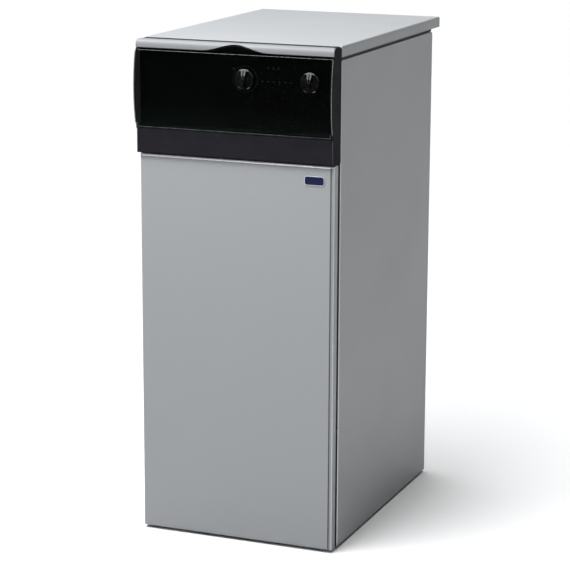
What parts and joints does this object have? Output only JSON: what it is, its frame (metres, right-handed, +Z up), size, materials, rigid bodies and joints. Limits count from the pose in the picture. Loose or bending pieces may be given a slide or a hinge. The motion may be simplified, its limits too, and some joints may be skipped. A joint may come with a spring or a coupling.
{
  "type": "floor-standing gas boiler",
  "caption": "Slim floor-standing gas boiler with a hinged front door, smoked control flap over knobs, cast-iron exchanger, burner and rear flue.",
  "frame": {"origin": "on the floor under the middle of the overall box", "axes": "+X to the right seen from the front, -Y towards the front door, +Z up"},
  "size_m": [0.35, 0.6, 0.85],
  "materials": {
    "silver_paint": "metallic silver-grey paint, satin",
    "silver_trim": "bright silver lacquer, semi-gloss",
    "dark_plastic": "fine-grained dark grey moulding",
    "black_plastic": "gloss black",
    "smoked_acrylic": "transparent smoked, polished",
    "black_rubber": "matt black",
    "navy_enamel": "gloss enamel",
    "galvanised_steel": "zinc coated",
    "cast_iron": "raw casting",
    "mineral_wool": "resin-bonded mineral wool board",
    "stainless_steel": "pressed stainless sheet",
    "brass": "machined",
    "copper": "drawn copper tube",
    "aluminium": "aluminised sheet and die casting",
    "sight_glass": "clear",
    "lamp_lens": "translucent",
    "ceramic": "glazed",
    "circuit_board": "solder-masked board",
    "white_plastic": "moulded",
    "silicone_cable": "silicone sleeve"
  },
  "bodies": {
    "case": {"base_tray": "galvanised_steel", "foot_front_left": "black_rubber", "foot_front_right": "black_rubber", "foot_rear_left": "black_rubber", "foot_rear_right": "black_rubber", "left_side_panel": "silver_paint", "right_side_panel": "silver_paint", "rear_panel": "galvanised_steel", "top_panel": "silver_paint", "lid_seal": "black_rubber", "cable_gland": "black_plastic", "upper_hinge_bracket": "galvanised_steel", "lower_hinge_bracket": "galvanised_steel", "upper_door_catch": "black_plastic", "lower_door_catch": "black_plastic", "control_bezel": "dark_plastic", "top_trim_strip": "silver_trim", "fascia_panel": "black_plastic", "indicator_lens_strip": "lamp_lens", "control_box": "galvanised_steel", "selector_switch": "white_plastic", "thermostat_body": "aluminium", "thermostat_capillary": "copper", "control_board": "circuit_board", "terminal_block": "white_plastic", "section_left": "cast_iron", "section_middle": "cast_iron", "section_right": "cast_iron", "upper_tie_rod": "galvanised_steel", "lower_tie_rod": "galvanised_steel", "flue_hood": "aluminium", "cleaning_cover": "galvanised_steel", "draught_diverter": "aluminium", "flue_spigot": "aluminium", "insulation_jacket": "mineral_wool", "burner_box": "galvanised_steel", "burner_front_plate": "galvanised_steel", "sight_glass": "sight_glass", "burner_bar_left": "stainless_steel", "burner_bar_right": "stainless_steel", "gas_manifold": "galvanised_steel", "injector_left": "brass", "injector_right": "brass", "gas_valve": "aluminium", "gas_inlet_pipe": "copper", "ignition_electrode": "ceramic", "flame_sensor": "ceramic", "ignition_lead": "silicone_cable", "flow_pipe": "galvanised_steel", "return_pipe": "galvanised_steel", "drain_cock": "brass"},
    "door": {"front_door": "silver_paint", "door_insulation": "mineral_wool", "door_badge": "navy_enamel"},
    "flap": {"control_flap": "smoked_acrylic"},
    "selector": {"selector_knob": "black_plastic", "selector_shaft": "galvanised_steel"},
    "thermostat": {"thermostat_knob": "black_plastic", "thermostat_shaft": "galvanised_steel"},
    "drain_lever": {"drain_cock_lever": "brass"}
  },
  "joints": [
    {"name": "front_door_hinge", "type": "hinge", "parent": "case", "child": "door", "pos_m": [-0.1655, -0.2665, 0.331], "axis": [0, 0, -1], "range_deg": [0, 95]},
    {"name": "control_flap_hinge", "type": "hinge", "parent": "case", "child": "flap", "pos_m": [0, -0.289, 0.7078], "axis": [1, 0, 0], "range_deg": [0, 95]},
    {"name": "selector_knob_turn", "type": "hinge", "parent": "case", "child": "selector", "pos_m": [0.0175, -0.28, 0.792], "axis": [0, 1, 0], "range_deg": [-45, 45]},
    {"name": "thermostat_knob_turn", "type": "hinge", "parent": "case", "child": "thermostat", "pos_m": [0.132, -0.28, 0.792], "axis": [0, 1, 0], "range_deg": [-135, 135]},
    {"name": "drain_cock_turn", "type": "hinge", "parent": "case", "child": "drain_lever", "pos_m": [-0.088, -0.195, 0.247], "axis": [0, 0, -1], "range_deg": [0, 90]}
  ]
}
